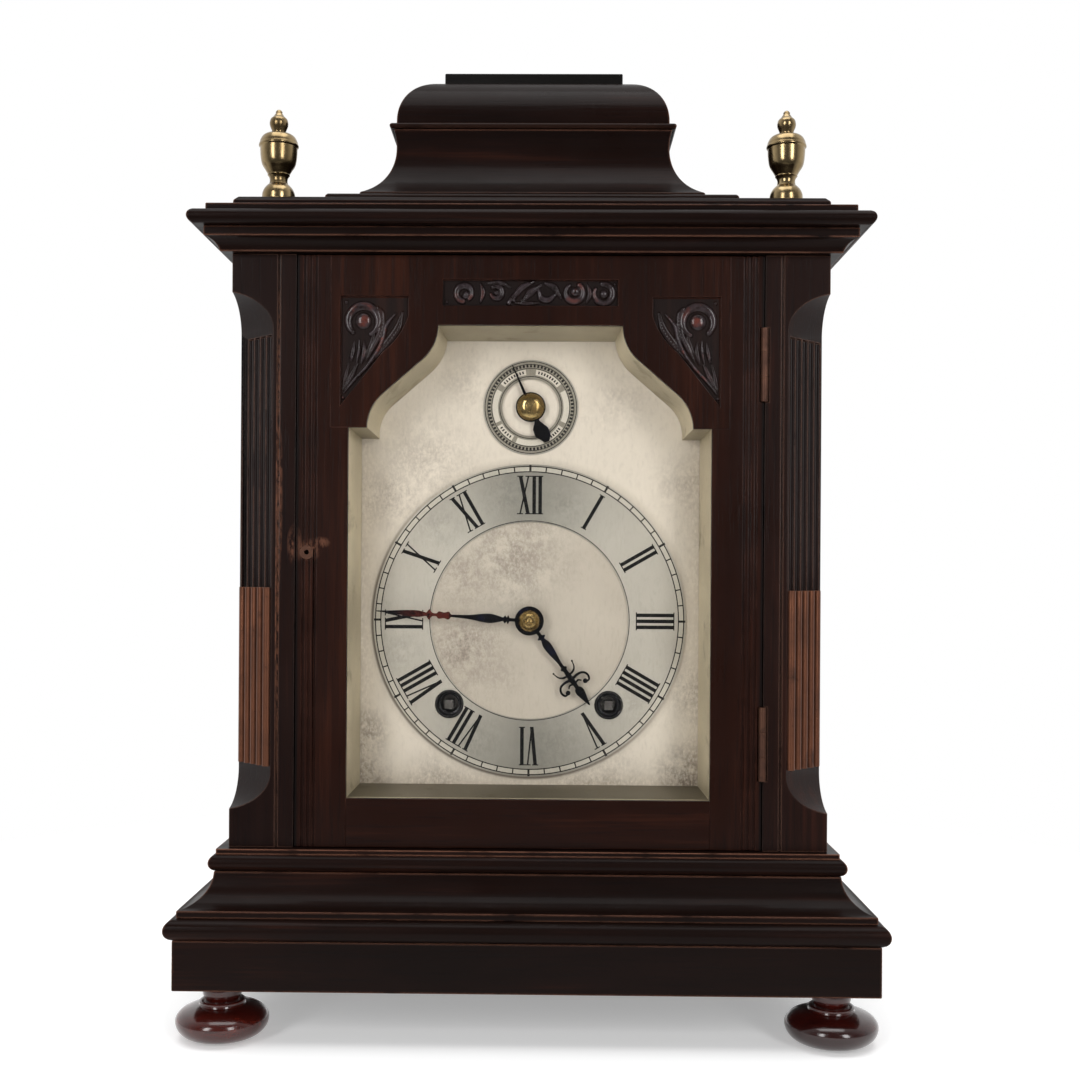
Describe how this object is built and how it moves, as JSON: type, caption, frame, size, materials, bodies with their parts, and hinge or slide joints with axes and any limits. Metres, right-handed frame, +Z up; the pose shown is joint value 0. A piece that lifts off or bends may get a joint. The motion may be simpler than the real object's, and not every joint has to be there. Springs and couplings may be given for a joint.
{
  "type": "bracket clock",
  "caption": "Spring-driven bracket clock in a dark wooden case with caddy top, urn finials, canted fluted corners, silvered dial, glazed front door and bun feet.",
  "frame": {"origin": "centre of the clock's overall footprint, on the surface that its feet stand on", "axes": "+Z up, -Y out of the dial, +X to the right as the dial is seen"},
  "size_m": [0.2918, 0.18, 0.4235],
  "materials": {
    "polished_mahogany": "dark red-brown French polish, satin gloss",
    "ebonised_wood": "near-black polish on the cap",
    "inner_wood": "unpolished, aged, inside the case",
    "finial_brass": "polished, lightly tarnished",
    "toned_brass": "brown patina",
    "silvered_slip": "worn silvering over brass",
    "silvered_dial": "matt silvering, spotted",
    "silvered_ring": "matt silvering with black filled numerals",
    "blued_steel": "blued, with some rust",
    "blackened_steel": "black collars",
    "bright_steel": "turned steel",
    "movement_brass": "lacquered",
    "window_glass": "clear, flat"
  },
  "bodies": {
    "case": {"back_hinge_side_leaves": "toned_brass", "back_rail_bottom": "polished_mahogany", "back_rail_top": "polished_mahogany", "base_cavetto": "polished_mahogany", "base_ledge": "polished_mahogany", "base_torus": "polished_mahogany", "bun_feet": "polished_mahogany", "caddy_board": "polished_mahogany", "caddy_body": "polished_mahogany", "caddy_top": "polished_mahogany", "cap_plate": "ebonised_wood", "case_hinge_leaves": "toned_brass", "case_side_left": "polished_mahogany", "case_side_right": "polished_mahogany", "chapter_ring": "silvered_ring", "corner_post_left": "polished_mahogany", "corner_post_right": "polished_mahogany", "cornice_board": "polished_mahogany", "cornice_moulding": "polished_mahogany", "dial_battens": "inner_wood", "dial_plate": "silvered_dial", "finials": "finial_brass", "going_train": "movement_brass", "gong_coil": "bright_steel", "gong_stand": "blackened_steel", "movement_plates": "movement_brass", "platform_board": "polished_mahogany", "plinth": "polished_mahogany", "seat_board": "inner_wood", "spring_barrels": "movement_brass", "stop_reeds": "toned_brass", "subsidiary_ring": "silvered_ring", "winding_collars": "blackened_steel"},
    "front_door": {"door_stile_left": "polished_mahogany", "door_stile_right": "polished_mahogany", "door_bottom_rail": "polished_mahogany", "door_top_rail": "polished_mahogany", "door_glass": "window_glass", "sight_slip": "silvered_slip", "door_hinge_leaves": "toned_brass", "door_lock": "toned_brass", "keyhole_bush": "toned_brass"},
    "lock_bolt": {"lock_bolt": "bright_steel"},
    "back_door": {"back_door": "polished_mahogany", "back_hinge_door_leaves": "toned_brass", "back_door_knob": "toned_brass"},
    "turn_button": {"turn_button": "toned_brass"},
    "minute_hand": {"minute_hand": "blued_steel", "hub_nut": "finial_brass", "cannon_pinion": "bright_steel"},
    "hour_hand": {"hour_hand": "blued_steel", "hour_wheel": "movement_brass"},
    "minute_wheel": {"minute_wheel": "movement_brass"},
    "subsidiary_hand": {"subsidiary_hand": "blued_steel", "subsidiary_boss": "finial_brass"},
    "winding_arbor_left": {"winding_arbor_left": "bright_steel"},
    "winding_arbor_right": {"winding_arbor_right": "bright_steel"},
    "pendulum": {"pendulum": "movement_brass", "pallet_anchor": "bright_steel"},
    "strike_hammer": {"strike_hammer": "bright_steel"}
  },
  "joints": [
    {"name": "front_door_hinge", "type": "hinge", "parent": "case", "child": "front_door", "pos_m": [0.09713, -0.0684, 0.2], "axis": [0, 0, 1], "range_deg": [0, 110]},
    {"name": "lock_bolt_slide", "type": "slide", "parent": "front_door", "child": "lock_bolt", "axis": [-1, 0, 0], "range_m": [0, 0.0036]},
    {"name": "back_door_hinge", "type": "hinge", "parent": "case", "child": "back_door", "pos_m": [0.114, 0.084, 0.2], "axis": [0, 0, -1], "range_deg": [0, 90]},
    {"name": "turn_button_pivot", "type": "hinge", "parent": "case", "child": "turn_button", "pos_m": [0, 0.084, 0.303], "axis": [0, 1, 0], "range_deg": [0, 90]},
    {"name": "minute_hand_arbor", "type": "hinge", "parent": "case", "child": "minute_hand", "pos_m": [0, -0.044, 0.1721], "axis": [0, 1, 0], "continuous": true},
    {"name": "hour_hand_pipe", "type": "hinge", "parent": "case", "child": "hour_hand", "pos_m": [0, -0.041, 0.1721], "axis": [0, 1, 0], "continuous": true},
    {"name": "minute_wheel_stud", "type": "hinge", "parent": "case", "child": "minute_wheel", "pos_m": [-0.01559, -0.023, 0.1631], "axis": [0, 1, 0], "continuous": true},
    {"name": "subsidiary_hand_arbor", "type": "hinge", "parent": "case", "child": "subsidiary_hand", "pos_m": [0, -0.04, 0.2651], "axis": [0, 1, 0], "range_deg": [-110, 158]},
    {"name": "winding_left", "type": "hinge", "parent": "case", "child": "winding_arbor_left", "pos_m": [-0.0348, 0, 0.1354], "axis": [0, 1, 0], "continuous": true},
    {"name": "winding_right", "type": "hinge", "parent": "case", "child": "winding_arbor_right", "pos_m": [0.0348, 0, 0.1354], "axis": [0, 1, 0], "continuous": true},
    {"name": "pendulum_swing", "type": "hinge", "parent": "case", "child": "pendulum", "pos_m": [0, 0.027, 0.22748], "axis": [0, 1, 0], "range_deg": [-3, 3]},
    {"name": "hammer_lift", "type": "hinge", "parent": "case", "child": "strike_hammer", "pos_m": [-0.0415, 0.06, 0.214], "axis": [0, 1, 0], "range_deg": [0, 14]}
  ],
  "couplings": [
    {"joint": "hour_hand_pipe", "follows": "minute_hand_arbor", "ratio": 0.083333},
    {"joint": "minute_wheel_stud", "follows": "minute_hand_arbor", "ratio": -0.33333}
  ]
}
